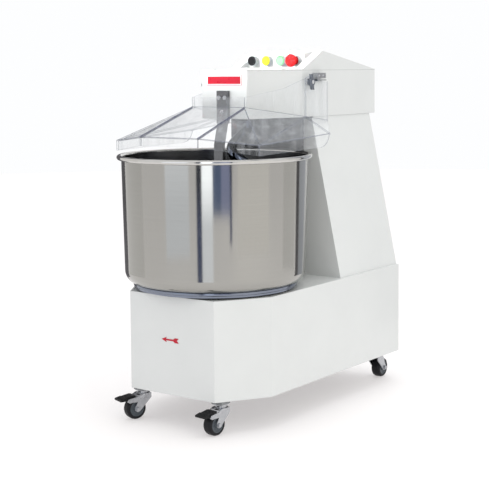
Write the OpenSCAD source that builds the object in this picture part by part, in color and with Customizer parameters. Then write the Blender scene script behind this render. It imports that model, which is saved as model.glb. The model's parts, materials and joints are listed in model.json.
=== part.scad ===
// Floor-standing spiral dough mixer: fixed head, turning bowl, spiral hook, clear bowl guard, castors.
// Millimetres. +Z is up, the bowl is at the front (-Y), and z = 0 is the floor.

/* [Plinth] */
// Width of the plinth
plinth_w = 494; // [480:1:520]
// Length of the plinth
plinth_l = 873; // [860:1:890]
// Height of the plinth casing
plinth_h = 287; // [280:1:300]
// Height of its underside above the floor
plinth_z = 95; // [95:1:95]
// Sheet thickness of all casings
sheet = 3; // [2:0.5:3]

/* [Column and head] */
// Column width where it meets the plinth
column_w_low = 476; // [460:1:478]
// Column width where it meets the head
column_w_top = 269; // [262:1:272]
// Column length, front to back
column_l = 345; // [340:1:350]
// Height of the head's underside
head_z = 876; // [870:1:880]
// Width of the head box
head_w = 276; // [274:1:278]
// Height of the head box
head_h = 143; // [143:1:150]
// Width of the nose's front face
nose_w = 168; // [160:1:170]
// Rise of the pitched lid
lid_rise = 60; // [58:1:62]

/* [Bowl and tools] */
// Outer radius of the bowl's wall near the rim
bowl_r = 275; // [272:1:276]
// Depth of the bowl
bowl_h = 370; // [365:1:370]
// Radius of the rolled rim
rim_r = 7; // [6:0.5:7]
// Radius that the spiral hook sweeps
hook_sweep = 92; // [80:1:94]
// Radius of the hook's bar
hook_r = 16; // [13:0.5:16.5]

/* [Castors] */
// Wheel diameter
wheel_d = 63; // [60:1:63]
// Wheel width
wheel_w = 30; // [28:1:30]
// Distance from the swivel axis back to the axle
trail = 28; // [26:1:28]

/* [Hidden] */
$fn = 72;

// Plinth
plinth_top = plinth_z + plinth_h;
plinth_front = -412;
plinth_rear = plinth_front + plinth_l;
chamfer_x = 93;
chamfer_y = 147;
rail_h = 30;
rail_w = 42;
rail_t = 6;
cross_rails = [-70, 160];
cross_rail_w = 40;
panel_gap = 0.5;
pad_h = 10;
pad_w = 38;

// Column and head
bowl_y = -202;
column_rear = plinth_rear - 0.5;
column_front = column_rear - column_l;
column_slope = (column_w_low - column_w_top) / 2 / (head_z - plinth_top);
column_skin = sheet * sqrt(1 + column_slope * column_slope);
nose_front = -152;
lid_front = 58;
rim_lap = 0.5;
head_rear = bowl_r + 2 * rim_r - rim_lap - bowl_y;
head_top = head_z + head_h;
ridge_y = 172;
lid_edge = 2;
ridge_z = head_top + lid_rise;

// Button console on the lid
console_front = 118;
console_hw = 108;
console_floor = head_top + 8;
console_top = head_top + 51;
button_z = head_top + 30;
button_pitch = 54;
button_head_r = 14;
bezel_r = 16.5;
bezel_l = 18;
stop_reach = 34;
stop_r = 20;
stop_stem_r = 12;
stem_r = 7;
contact_w = 26;

// Bowl
bowl_z = plinth_top + 17;
rim_z = bowl_z + bowl_h;
rim_gap = 0.3;
bowl_wall = 2.5;
bowl_low_r = bowl_r * 0.976;
corner_r = 38;
corner_steps = 10;
foot_r = 244;
foot_w = 10;
foot_gap = 0.8;
bowl_shaft_r = 25;
bowl_hub_r = 50;
bowl_flange_r = 95;
table_hub_r = 70;
table_t = 9;
shaft_cover = 4;
table_z = plinth_top + 5;
shield_r = 300.5;

// Spiral hook and drive line
spiral_y = -37;
spiral_shaft_r = 17;
spiral_hub_r = 34;
spiral_flange_r = 52;
hook_top = 850;
hook_bottom = bowl_z + 32;
hook_start = 180;
hook_turn = 430;
motor_y = 290;
motor_r = 80;
motor_z = 470;
motor_h = 250;
motor_shaft_r = 14;
motor_core_r = 74;
motor_end = 20;
fins = 24;
mount_t = 12;
mount_hw = 150;
jack = [95, 70];
jack_r = 12;
jack_hub_r = 26;
jack_flange_r = 42;
fit = 0.05;
loose = 0.6;
belt_t = 8;
pulley_h = 26;
pulley_rim = 9;
pulley_side = 3;
head_belt_z = head_z + 56;
base_belt_z = plinth_z + 201;
chain_z = plinth_z + 127;
spiral_groove = 89;
motor_top_groove = 30;
motor_low_groove = 24;
jack_groove = 82;
bowl_sprocket_r = 165;
jack_sprocket_r = 20;
sprocket_h = 12;
tooth = 5;
chain_t = 8;

// Guard: hinge axis and the corner points of one side
hinge_y = 83.5;
hinge_z = 983;
stud_r = 6;
guard_t = 4;
wall_foot_front = [97, -183, 912];
window_low = [105, -414, 833];
skirt_corner = [262, -340, 815];
skirt_rear = [262, 20, 832];
wall_foot_mid = [150, 60, 878];
wall_foot_rear = [150, 183, 863];
wall_tops = [[-183, 941], [-28, 965], [60, 994], [83.5, 1001], [106, 984.4], [183, 983.4]];

// Limit switch
switch_y = 114;
switch_l = 46;
lever_y = 122;
lever_z = 988;

// Fasteners and cable entry
screw_r = 3;
screw_head_r = 5.5;
screw_l = 6;
head_t = 2;
lid_screw_r = 2.5;
lid_screw_head_r = 5;
rear_screws = [for (z = [420, 630, 840]) for (s = [-1, 1]) [s * (column_hw(z) - 12), z]];
panel_screws = [for (z = [150, 350]) for (s = [-1, 1]) [s * 225, z]];
nose_screws = [[-43, -140], [43, -140], [-96, 20], [96, 20]];
bolt_r = 5;
bolt_head_r = 7;
bolt_head_t = 3;
bar_t = 12;
bar_bolts = [[-11, 939], [11, 939], [0, 897]];
louvre_banks = [450, 740];
louvre_pitch = 14;
louvre_h = 6;
louvre_hw = 70;
gland_nut_r = 17;
gland_nut_t = 6;
gland_cap_r = 14;
gland_x = -150;
gland_z = 170;
gland_r = 12;
gland_bore_r = 6.5;

// Castors: name, swivel position, turn about the swivel
castors = [
    ["fl", [-145, -372], -20],
    ["fr", [145, -372], -6],
    ["rl", [-180, 425], 177],
    ["rr", [180, 425], 183]
];
axle_z = wheel_d / 2;
axle_r = 4;
core_r = 22;
kingpin_r = 5;
race_z = 76;
race_r = 17;
race_gap = 0.5;
crown_r = 21;
axle_head_r = 7;
plate_t = 3;
plate_z = plinth_z - pad_h - plate_t;
plate_w = 34;
leg_in = wheel_w / 2 + 1.3;
leg_t = 2.7;
brake_y = -54;
brake_z = 59;
brake_pin_r = 3;

// ---- Shape helpers ----

// Outline of a box whose two front corners are cut by (cx, cy), moved inwards by t
function cut_outline(hw, y0, y1, cx, cy, t) =
    let (l = sqrt(cx * cx + cy * cy),
         xa = hw - cx + t * (cx - l) / cy,
         yb = y0 + (cy * (cx - t) + t * l) / cx)
    [[-xa, y0 + t], [xa, y0 + t], [hw - t, yb], [hw - t, y1 - t], [t - hw, y1 - t], [t - hw, yb]];

function plinth_outline(t) =
    cut_outline(plinth_w / 2, plinth_front, plinth_rear, chamfer_x, chamfer_y, t);

function head_outline(t) =
    cut_outline(head_w / 2, nose_front, head_rear, (head_w - nose_w) / 2, lid_front - nose_front, t);

// Half width of the column at height z
function column_hw(z) = column_w_low / 2 - (z - plinth_top) * column_slope;

// Column's cross-section between two heights, moved inwards by dx
function column_section(z0, z1, dx) =
    let (a = column_hw(z0) - dx,
         b = column_hw(z1) - dx)
    [[-a, z0], [a, z0], [b, z1], [-b, z1]];

function arc(cx, cy, r, a0, a1, n) =
    [for (i = [0 : n]) let (a = a0 + (a1 - a0) * i / n) [cx + r * cos(a), cy + r * sin(a)]];

function unit(v) = v / norm(v);

function smooth(t) = let (u = min(max(t, 0), 1)) u * u * (3 - 2 * u);

// Extrude an XZ outline along Y, or a YZ outline along X
module along_y(y0, y1) { translate([0, y1, 0]) rotate([90, 0, 0]) linear_extrude(y1 - y0) children(); }
module along_x(x0, x1) { translate([x0, 0, 0]) rotate([90, 0, 90]) linear_extrude(x1 - x0) children(); }

module post(x, y, z0, z1, r) { translate([x, y, z0]) cylinder(h = z1 - z0, r = r); }
module rod_x(x0, x1, y, z, r) { translate([x0, y, z]) rotate([0, 90, 0]) cylinder(h = x1 - x0, r = r); }
module rod_y(y0, y1, x, z, r) { translate([x, y1, z]) rotate([90, 0, 0]) cylinder(h = y1 - y0, r = r); }
module block(lo, hi) { translate(lo) cube(hi - lo); }
module both_sides() { children(); mirror([1, 0, 0]) children(); }

// Outline of a loop round two circles, for belts and chains
function loop_points(c1, r1, c2, r2) =
    let (d = c2 - c1,
         a = atan2(d[1], d[0]),
         b = acos((r1 - r2) / norm(d)))
    concat(arc(c1[0], c1[1], r1, a + b, a + 360 - b, 40), arc(c2[0], c2[1], r2, a - b, a + b, 30));

module loop_band(c1, r1, c2, r2, t, z, h) {
    translate([0, 0, z]) linear_extrude(h) difference() {
        polygon(loop_points(c1, r1 + t, c2, r2 + t));
        polygon(loop_points(c1, r1, c2, r2));
    }
}

// Belt in the grooves of two pulleys
module belt(c1, r1, c2, r2, z) {
    side = pulley_side + loose;
    loop_band(c1, r1 + loose, c2, r2 + loose, belt_t, z + side, pulley_h - 2 * side);
}

module pulley(x, y, z, groove_r, bore_r) {
    difference() {
        union() {
            post(x, y, z, z + pulley_h, groove_r);
            post(x, y, z, z + pulley_side, groove_r + pulley_rim);
            post(x, y, z + pulley_h - pulley_side, z + pulley_h, groove_r + pulley_rim);
        }
        post(x, y, z - 1, z + pulley_h + 1, bore_r);
    }
}

module sprocket(x, y, z, r, teeth, bore_r) {
    step = 360 / teeth;
    corners = [[-tooth, -0.32], [0, -0.14], [0, 0.14], [-tooth, 0.32]];
    translate([x, y, z]) linear_extrude(sprocket_h) difference() {
        polygon([for (i = [0 : teeth - 1]) for (k = corners)
            (r + k[0]) * [cos((i + k[1]) * step), sin((i + k[1]) * step)]]);
        circle(bore_r);
    }
}

// Flat plate through points listed counter-clockwise from above, t thick downwards
module plate(p, t) {
    n = len(p);
    low = [for (q = p) q - [0, 0, t]];
    top = [for (i = [n - 1 : -1 : 0]) i];
    under = [for (i = [n : 2 * n - 1]) i];
    sides = [for (i = [0 : n - 1]) [i, (i + 1) % n, n + (i + 1) % n, n + i]];
    polyhedron(concat(p, low), concat([top, under], sides));
}

// Upright wall from a to b, with its own top and bottom heights at each end, t thick to the left of a-b
module upright(a, b, top_a, top_b, low_a, low_b, t) {
    d = unit(b - a);
    s = t * [-d[1], d[0]];
    p = [a, b, b + s, a + s];
    tops = [top_a, top_b, top_b, top_a];
    lows = [low_a, low_b, low_b, low_a];
    high = [for (i = [0 : 3]) [p[i][0], p[i][1], tops[i]]];
    low = [for (i = [0 : 3]) [p[i][0], p[i][1], lows[i]]];
    sides = [for (i = [0 : 3]) [i, (i + 1) % 4, 4 + (i + 1) % 4, 4 + i]];
    polyhedron(concat(high, low), concat([[3, 2, 1, 0], [4, 5, 6, 7]], sides));
}

// ---- Casings ----

module base_shell() {
    inner_w = plinth_w / 2 - sheet;
    color("whitesmoke") difference() {
        translate([0, 0, plinth_z]) linear_extrude(plinth_h) polygon(plinth_outline(0));
        translate([0, 0, plinth_z - 1]) linear_extrude(plinth_h + 1 - sheet) polygon(plinth_outline(sheet));
        post(0, bowl_y, plinth_top - 5, plinth_top + 5, bowl_hub_r);
        block([-100, column_front + 15, plinth_top - 5], [100, column_rear - 20, plinth_top + 5]);
        translate([0, plinth_rear, 0])
            block([-inner_w, -sheet - 1, plinth_z - 1], [inner_w, 1, plinth_top - sheet]);
    }
}

// Panel that closes the plinth's rear, with the cable's way in
module base_rear_panel() {
    hw = plinth_w / 2 - sheet - panel_gap;
    color("whitesmoke") difference() {
        block([-hw, plinth_rear - sheet, plinth_z], [hw, plinth_rear, plinth_top - sheet - panel_gap]);
        rod_y(plinth_rear - 5, plinth_rear + 5, gland_x, gland_z, gland_r);
        for (p = panel_screws) rod_y(plinth_rear - 5, plinth_rear + 5, p[0], p[1], screw_r);
    }
}

module chassis_frame() {
    hw = plinth_w / 2 - rail_t;
    color("dimgray") {
        for (leg = [[rail_w, rail_t], [rail_t, rail_h]])
            translate([0, 0, plinth_z]) linear_extrude(leg[1]) difference() {
                polygon(plinth_outline(sheet));
                polygon(plinth_outline(sheet + leg[0]));
            }
        for (y = cross_rails) {
            block([-hw, y, plinth_z], [hw, y + cross_rail_w, plinth_z + rail_t]);
            block([-hw, y, plinth_z], [hw, y + rail_t, plinth_z + rail_h]);
        }
    }
    color("whitesmoke") translate([0, 0, plinth_z - pad_h]) linear_extrude(pad_h) intersection() {
        polygon(plinth_outline(sheet));
        for (c = castors) translate(c[1]) square(pad_w, center = true);
    }
}

module column_shell() {
    color("whitesmoke") difference() {
        along_y(column_front, column_rear) polygon(column_section(plinth_top, head_z, 0));
        along_y(column_front + sheet, column_rear - 6)
            polygon(column_section(plinth_top - 1, head_z + 1, column_skin));
        along_y(column_rear - 7, column_rear - 3) polygon(column_section(plinth_top + 15, head_z - 15, 18));
        along_y(column_rear - 3, column_rear + 1)
            polygon(column_section(plinth_top - 1, head_z + 1, column_skin));
        for (p = rear_screws) rod_y(column_rear - 7, column_rear, p[0], p[1], screw_r);
    }
}

module rear_cover() {
    color("whitesmoke") difference() {
        along_y(column_rear - 3, column_rear)
            polygon(column_section(plinth_top + 1, head_z - 1, column_skin + 1));
        for (p = rear_screws) rod_y(column_rear - 4, column_rear + 1, p[0], p[1], screw_r);
        for (bank = louvre_banks) for (i = [0 : 6]) translate([0, column_rear, bank + i * louvre_pitch])
            block([-louvre_hw, -4, 0], [louvre_hw, 1, louvre_h]);
    }
}

module head_shell() {
    color("whitesmoke") difference() {
        translate([0, 0, head_z]) linear_extrude(head_h) polygon(head_outline(0));
        translate([0, 0, head_z + sheet]) linear_extrude(head_h) polygon(head_outline(sheet));
        post(0, spiral_y, head_z - 1, head_z + 5, spiral_hub_r);
        block([-60, motor_y - 50, head_z - 1], [60, motor_y + 50, head_z + 5]);
    }
}

module nose_cover() {
    o = head_outline(0);
    seam = lid_front - 0.5;
    k = (seam - o[1][1]) / (o[2][1] - o[1][1]);
    x = o[1][0] + k * (o[2][0] - o[1][0]);
    color("whitesmoke") difference() {
        translate([0, 0, head_top]) linear_extrude(sheet) polygon([o[0], o[1], [x, seam], [-x, seam]]);
        for (p = nose_screws) post(p[0], p[1], head_top - 1, head_top + 5, lid_screw_r);
    }
}

module lid_outline(t) {
    polygon([
        [lid_front + t, head_top - t], [lid_front + t, head_top + lid_edge - t * 0.6],
        [ridge_y, ridge_z - t * 1.13], [head_rear - t, head_top + lid_edge - t * 0.87],
        [head_rear - t, head_top - t]
    ]);
}

// Pitched lid, with a stepped console whose upright face carries the buttons
module lid_solid(t) {
    hw = head_w / 2 - t;
    face = console_front + t;
    difference() {
        along_x(-hw, hw) lid_outline(t);
        block([-console_hw - t, lid_front - 5, console_floor - t], [console_hw + t, face, ridge_z]);
    }
    along_x(-console_hw + t, console_hw - t) polygon([
        [face, console_floor - t], [face, console_top - t],
        [ridge_y, ridge_z - t * 1.13], [ridge_y, console_floor - t]
    ]);
}

module head_cover() {
    color("whitesmoke") difference() {
        lid_solid(0);
        lid_solid(sheet);
        for (i = [0 : 3]) rod_y(console_front - 1, console_front + 5, button_x(i), button_z, 8);
    }
}

// Screw into a wall that faces the rear at y
module rear_screw(x, y, z) {
    rod_y(y - screw_l, y, x, z, screw_r);
    rod_y(y, y + head_t, x, z, screw_head_r);
}

module cover_screws() {
    color("silver") {
        for (p = rear_screws) rear_screw(p[0], column_rear, p[1]);
        for (p = panel_screws) rear_screw(p[0], plinth_rear, p[1]);
        for (p = nose_screws) {
            post(p[0], p[1], head_top, head_top + sheet, lid_screw_r);
            post(p[0], p[1], head_top + sheet, head_top + sheet + head_t, lid_screw_head_r);
        }
    }
}

module name_badge() {
    color("crimson") block([-65, nose_front - 2, head_top - 43], [65, nose_front, head_top - 13]);
}

module direction_arrow() {
    color("red") along_y(plinth_front - 1, plinth_front) translate([-4, 255]) polygon([
        [-31, 0], [-12, 7.5], [-12, 3.2], [31, 3.2], [31, -3.2], [-12, -3.2], [-12, -7.5]
    ]);
}

// ---- Bowl ----

// Turn an outline and its inner copy, listed the same way round, about the bowl's axis
module bowl_sheet(outer, inner) {
    n = len(inner);
    color("silver") translate([0, bowl_y, 0]) rotate_extrude()
        polygon(concat(outer, [for (i = [n - 1 : -1 : 0]) inner[i]]));
}

// Quarter circle of the bowl's bottom corner, at a given radius
function corner_arc(r) = arc(bowl_low_r - corner_r, bowl_z + corner_r, r, 0, -90, corner_steps);

module bowl() {
    bowl_sheet(
        [[bowl_r, rim_z], [bowl_low_r, bowl_z + corner_r]],
        [[bowl_r - bowl_wall, rim_z], [bowl_low_r - bowl_wall, bowl_z + corner_r]]);
}

// Rolled rim that laps over the wall's top edge
module bowl_rim() {
    flat = bowl_wall - rim_lap;
    color("silver") translate([0, bowl_y, 0]) rotate_extrude() difference() {
        translate([bowl_r + rim_r - bowl_wall, rim_z]) {
            circle(rim_r, $fn = 32);
            translate([flat, 0]) circle(rim_r, $fn = 32);
            translate([0, -rim_r]) square([flat, 2 * rim_r]);
        }
        translate([0, rim_z - 2 * rim_r]) square([bowl_r + rim_gap, 2 * rim_r]);
    }
}

module bowl_base() {
    bowl_sheet(
        concat(corner_arc(corner_r), [[0, bowl_z]]),
        concat(corner_arc(corner_r - bowl_wall), [[0, bowl_z + bowl_wall]]));
}

// Height of the bowl's rounded underside at radius r
function bowl_under(r) =
    bowl_z + corner_r - sqrt(corner_r * corner_r - pow(r - (bowl_low_r - corner_r), 2));

module bowl_foot_ring() {
    r0 = foot_r - foot_w;
    color("dimgray") translate([0, bowl_y, 0]) rotate_extrude() polygon([
        [r0, table_z], [foot_r, table_z],
        [foot_r, bowl_under(foot_r) - foot_gap], [r0, bowl_under(r0) - foot_gap]
    ]);
}

module bowl_turntable() {
    color("gray") difference() {
        union() {
            post(0, bowl_y, bowl_z - table_t, bowl_z, foot_r - foot_w);
            post(0, bowl_y, table_z, bowl_z - table_t, table_hub_r);
        }
        post(0, bowl_y, table_z - 1, bowl_z - shaft_cover, bowl_shaft_r);
    }
}

module bowl_shaft() { color("silver") post(0, bowl_y, chain_z - 10, bowl_z - shaft_cover, bowl_shaft_r); }

module bowl_sprocket() {
    color("gray") sprocket(0, bowl_y, chain_z, bowl_sprocket_r, 36, bowl_shaft_r);
}

module bowl_housing() {
    color("dimgray") difference() {
        union() {
            post(0, bowl_y, plinth_top - 18, plinth_top - sheet, bowl_flange_r);
            post(0, bowl_y, chain_z + 38, plinth_top + 1, bowl_hub_r);
        }
        post(0, bowl_y, chain_z, plinth_top + 5, bowl_shaft_r + fit);
    }
}

// ---- Spiral hook and breaker bar ----

// Centre line of the hook, t from 0 at the shaft to 1 at the tip
function hook_point(t) =
    let (a = hook_start + hook_turn * t,
         r = (hook_sweep - hook_r) * smooth(t / 0.24) * (1 - 0.35 * smooth((t - 0.8) / 0.2)),
         z = hook_top + (hook_bottom - hook_top) * (0.92 * t + 0.08 * t * t))
    [r * cos(a), spiral_y + r * sin(a), z];

module spiral_hook() {
    n = 84;
    m = 16;
    e = 0.001;
    rings = [for (i = [0 : n])
        let (t = i / n,
             lo = max(t - e, 0),
             d = i == 0 ? [0, 0, -1] : unit(hook_point(t + e) - hook_point(lo)),
             a = hook_start + hook_turn * t,
             u = [cos(a), sin(a), 0],
             nn = unit(u - (u * d) * d),
             b = cross(d, nn),
             k = hook_r * (t > 0.96 ? sqrt(max(0.12, 1 - pow((t - 0.96) / 0.04, 2))) : 1))
        for (j = [0 : m - 1]) hook_point(t) + k * (cos(j * 360 / m) * nn + sin(j * 360 / m) * b)];
    sides = [for (i = [0 : n - 1]) for (j = [0 : m - 1])
        [i * m + j, (i + 1) * m + j, (i + 1) * m + (j + 1) % m, i * m + (j + 1) % m]];
    caps = [[for (j = [0 : m - 1]) j], [for (j = [m - 1 : -1 : 0]) n * m + j]];
    color("silver") polyhedron(rings, concat(sides, caps));
}

module spiral_shaft() {
    color("silver") {
        post(0, spiral_y, hook_top, head_belt_z + pulley_h + 10, spiral_shaft_r);
        post(0, spiral_y, head_belt_z + pulley_h, head_belt_z + pulley_h + 8, spiral_shaft_r + 6);
    }
}

module spiral_pulley() { color("dimgray") pulley(0, spiral_y, head_belt_z, spiral_groove, spiral_shaft_r); }

module spiral_housing() {
    color("gray") difference() {
        union() {
            post(0, spiral_y, head_z - 8, head_belt_z - 5, spiral_hub_r);
            post(0, spiral_y, head_z + sheet, head_z + sheet + 10, spiral_flange_r);
        }
        post(0, spiral_y, head_z - 10, head_belt_z, spiral_shaft_r + fit);
    }
}

module breaker_bar() {
    top = head_top - 59;
    front = nose_front - bar_t;
    low = hook_bottom - 8;
    color("silver") difference() {
        union() {
            along_x(-20, 20) polygon([
                [front, top], [nose_front, top], [nose_front, head_z - 4],
                [nose_front - 3, head_z - 12], [front - 3, head_z - 12], [front, head_z - 4]
            ]);
            along_x(-16, 16) polygon([
                [front, head_z - 2], [nose_front, head_z - 2], [front - 8, 800],
                [front - 8, low], [front - 20, low], [front - 20, 800]
            ]);
        }
        for (p = bar_bolts) rod_y(front - 8, nose_front + 1, p[0], p[1], bolt_r);
    }
}

module breaker_bar_bolts() {
    color("gainsboro") for (p = bar_bolts) {
        rod_y(nose_front - bar_t, nose_front, p[0], p[1], bolt_r);
        rod_y(nose_front - bar_t - bolt_head_t, nose_front - bar_t, p[0], p[1], bolt_head_r);
    }
}

module splash_shield() {
    hw = head_w / 2;
    color("silver") {
        translate([0, 0, head_z - 124]) linear_extrude(124) intersection() {
            translate([0, bowl_y]) difference() {
                circle(shield_r + 1, $fn = 240);
                circle(shield_r - 1, $fn = 240);
            }
            translate([-hw, 0]) square([2 * hw, 200]);
        }
        translate([0, 0, head_z - sheet]) linear_extrude(sheet) difference() {
            translate([-hw, 60]) square([2 * hw, column_front - 60]);
            translate([0, bowl_y]) circle(shield_r, $fn = 240);
        }
    }
}

// ---- Guard ----

function wall_x(y) =
    y > wall_foot_mid[1] ? wall_foot_mid[0]
    : wall_foot_front[0] + (y - wall_foot_front[1])
        * (wall_foot_mid[0] - wall_foot_front[0]) / (wall_foot_mid[1] - wall_foot_front[1]);

function foot_z(y) =
    y > wall_foot_mid[1]
    ? wall_foot_mid[2] + (y - wall_foot_mid[1])
        * (wall_foot_rear[2] - wall_foot_mid[2]) / (wall_foot_rear[1] - wall_foot_mid[1])
    : wall_foot_front[2] + (y - wall_foot_front[1])
        * (wall_foot_mid[2] - wall_foot_front[2]) / (wall_foot_mid[1] - wall_foot_front[1]);

function flat(p) = [p[0], p[1]];

function mirrored(p) = [-p[0], p[1], p[2]];

// One side of the guard: wall beside the head, sloping brim and skirt
module guard_side() {
    a = wall_foot_front;
    b = wall_foot_mid;
    c = wall_foot_rear;
    f = window_low;
    s = skirt_corner;
    r = skirt_rear;
    for (i = [0 : len(wall_tops) - 2]) {
        y0 = wall_tops[i][0];
        y1 = wall_tops[i + 1][0];
        upright([wall_x(y0), y0], [wall_x(y1), y1], wall_tops[i][1], wall_tops[i + 1][1],
            foot_z(y0) - guard_t, foot_z(y1) - guard_t, guard_t);
    }
    plate([a, f, s], guard_t);
    plate([a, s, b], guard_t);
    plate([s, r, b], guard_t);
    plate([b, r, c], guard_t);
    upright(flat(f), flat(s), f[2], s[2], 807, 785, guard_t);
    difference() {
        upright(flat(s), flat(r), s[2], r[2], 785, 793, guard_t);
        difference() {
            block([s[0] - 20, r[1] - 45, 780], [s[0] + 20, r[1] + 5, 838]);
            rod_x(s[0] - 25, s[0] + 25, r[1] - 45, 838, 45);
            block([s[0] - 25, r[1] - 60, 832], [s[0] + 25, r[1] - 0.01, 840]);
        }
    }
}

module guard_shell() {
    a = wall_foot_front;
    f = window_low;
    color("aliceblue", 0.35) difference() {
        union() {
            both_sides() guard_side();
            upright(flat(mirrored(a)), flat(a), 941, 941, a[2] - guard_t, a[2] - guard_t, guard_t);
            plate([mirrored(a), mirrored(f), f, a], guard_t);
            upright(flat(mirrored(f)), flat(f), f[2], f[2], 807, 807, guard_t);
        }
        rod_x(-160, 160, hinge_y, hinge_z, stud_r + fit);
    }
}

module guard_pivots() {
    color("silver") both_sides() {
        rod_x(head_w / 2, 162, hinge_y, hinge_z, stud_r);
        rod_x(head_w / 2, 145.4, hinge_y, hinge_z, 11);
    }
}

module guard_knobs() {
    color("dimgray") both_sides() difference() {
        union() {
            rod_x(150.6, 160, hinge_y, hinge_z, 13);
            along_x(152, 160) polygon([
                [hinge_y - 6, hinge_z + 8], [hinge_y - 9, hinge_z + 24], [hinge_y + 1, hinge_z + 24],
                [hinge_y + 8, hinge_z + 6], [hinge_y + 6, hinge_z - 8], [hinge_y + 9, hinge_z - 24],
                [hinge_y - 1, hinge_z - 24], [hinge_y - 8, hinge_z - 6]
            ]);
        }
        rod_x(150, 165, hinge_y, hinge_z, stud_r + fit);
    }
}

module guard_buffer() {
    slope = (head_w - nose_w) / 2 / (lid_front - nose_front);
    y = nose_front + 20;
    color("black") translate([-nose_w / 2 - 20 * slope, y, head_top - 42])
        rotate([0, 0, atan(slope)]) rotate([0, -90, 0]) cylinder(h = 9, r = 6);
}

module limit_switch() {
    x = head_w / 2;
    color("silver") block([x, switch_y, 994], [x + 20, switch_y + switch_l - 6, 1010]);
    color("black") {
        block([x, switch_y + switch_l - 6, 994], [x + 20, switch_y + switch_l, 1010]);
        block([x + 1, lever_y - 5, lever_z - 3], [x + 4, lever_y + 5, 994]);
        block([x + 17, lever_y - 5, lever_z - 3], [x + 20, lever_y + 5, 994]);
        rod_x(x + 1, x + 20, lever_y, lever_z, 1.5);
    }
}

module switch_lever() {
    x = head_w / 2;
    color("dimgray") difference() {
        union() {
            rod_x(x + 5, x + 16, lever_y, lever_z, 2.8);
            block([x + 5, lever_y, lever_z - 1], [x + 16, lever_y + 48, lever_z + 1]);
        }
        rod_x(x + 4, x + 17, lever_y, lever_z, 1.5 + fit);
    }
}

// ---- Controls ----

function button_x(i) = (i - 1.5) * button_pitch;

module button_bezels() {
    color("silver") for (i = [0 : 3]) difference() {
        rod_y(console_front - bezel_l, console_front, button_x(i), button_z, bezel_r);
        rod_y(console_front - bezel_l - 1, console_front + 1, button_x(i), button_z, button_head_r + 0.4);
    }
}

module push_button(i) {
    rod_y(console_front - 21, console_front - 6, button_x(i), button_z, button_head_r);
    rod_y(console_front - 6, console_front + 6, button_x(i), button_z, stem_r);
}

module button_black() { color("black") push_button(0); }
module button_yellow() { color("yellow") push_button(1); }
module button_green() { color("limegreen") push_button(2); }

module button_stop() {
    k = 8;
    dome = arc(stop_r - k, 3, k, 0, 90, 6);
    color("red") {
        translate([button_x(3), console_front - stop_reach, button_z]) rotate([90, 0, 0]) rotate_extrude()
            polygon(concat([[0, 0], [stop_r - 2, 0], [stop_r, 2]], dome, [[0, k + 4]]));
        rod_y(console_front - stop_reach, console_front - 6, button_x(3), button_z, stop_stem_r);
        rod_y(console_front - 6, console_front + 6, button_x(3), button_z, stem_r);
    }
}

// ---- Drive ----

module motor_body() {
    color("steelblue") difference() {
        union() {
            post(0, motor_y, motor_z, motor_z + motor_h, motor_core_r);
            post(0, motor_y, motor_z, motor_z + motor_end, motor_r);
            post(0, motor_y, motor_z + motor_h - motor_end, motor_z + motor_h, motor_r);
            for (i = [0 : fins - 1]) translate([0, motor_y, motor_z]) rotate([0, 0, i * 360 / fins])
                translate([motor_r - 10, -1.5, 0]) cube([10, 3, motor_h]);
        }
        post(0, motor_y, motor_z - 1, motor_z + motor_h + 1, motor_shaft_r + fit);
    }
}

module motor_mount() {
    color("dimgray") difference() {
        block([-mount_hw, column_front + sheet, motor_z - mount_t], [mount_hw, column_rear - 6, motor_z]);
        post(0, motor_y, motor_z - mount_t - 1, motor_z + 1, 2 * motor_shaft_r);
    }
}

module motor_shaft() {
    color("silver") post(0, motor_y, base_belt_z - 8, head_belt_z + pulley_h + 6, motor_shaft_r);
}

module motor_pulleys() {
    color("dimgray") {
        pulley(0, motor_y, head_belt_z, motor_top_groove, motor_shaft_r);
        pulley(0, motor_y, base_belt_z, motor_low_groove, motor_shaft_r);
    }
}

module spiral_belt() {
    color("black") belt([0, spiral_y], spiral_groove, [0, motor_y], motor_top_groove, head_belt_z);
}

module motor_belt() {
    color("black") belt(jack, jack_groove, [0, motor_y], motor_low_groove, base_belt_z);
}

module jackshaft() {
    color("silver") {
        post(jack[0], jack[1], chain_z - 10, plinth_top - 4, jack_r);
        pulley(jack[0], jack[1], base_belt_z, jack_groove, jack_r - 1);
        sprocket(jack[0], jack[1], chain_z, jack_sprocket_r, 9, jack_r - 1);
    }
}

module jackshaft_housing() {
    color("gray") difference() {
        union() {
            post(jack[0], jack[1], plinth_top - 15, plinth_top - sheet, jack_flange_r);
            post(jack[0], jack[1], base_belt_z + pulley_h + 8, plinth_top - sheet, jack_hub_r);
        }
        post(jack[0], jack[1], base_belt_z, plinth_top, jack_r + fit);
    }
}

module bowl_chain() {
    color("gray") loop_band([0, bowl_y], bowl_sprocket_r + loose, jack, jack_sprocket_r + loose, chain_t,
        chain_z + 2, sprocket_h - 4);
}

// Control box in the column, and the contact blocks behind the buttons
module electrical_box() {
    half = contact_w / 2;
    color("lightgray") {
        block([88, 150, motor_z], [146, 330, motor_z + 170]);
        for (i = [0 : 3]) translate([button_x(i), 0, button_z])
            block([-half, console_front + 12, -half], [half, ridge_y, half]);
    }
}

module cable_gland() {
    color("black") difference() {
        union() {
            rod_y(plinth_rear - 16, plinth_rear + 12, gland_x, gland_z, gland_r);
            for (y = [plinth_rear + gland_nut_t, plinth_rear - sheet]) translate([gland_x, y, gland_z])
                rotate([90, 0, 0]) cylinder(h = gland_nut_t, r = gland_nut_r, $fn = 6);
            rod_y(plinth_rear + gland_nut_t, plinth_rear + 22, gland_x, gland_z, gland_cap_r);
        }
        rod_y(plinth_rear - 20, plinth_rear + 25, gland_x, gland_z, gland_bore_r);
    }
}

// ---- Castors ----

module at_castor(i) { translate(castors[i][1]) rotate([0, 0, castors[i][2]]) children(); }

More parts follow.
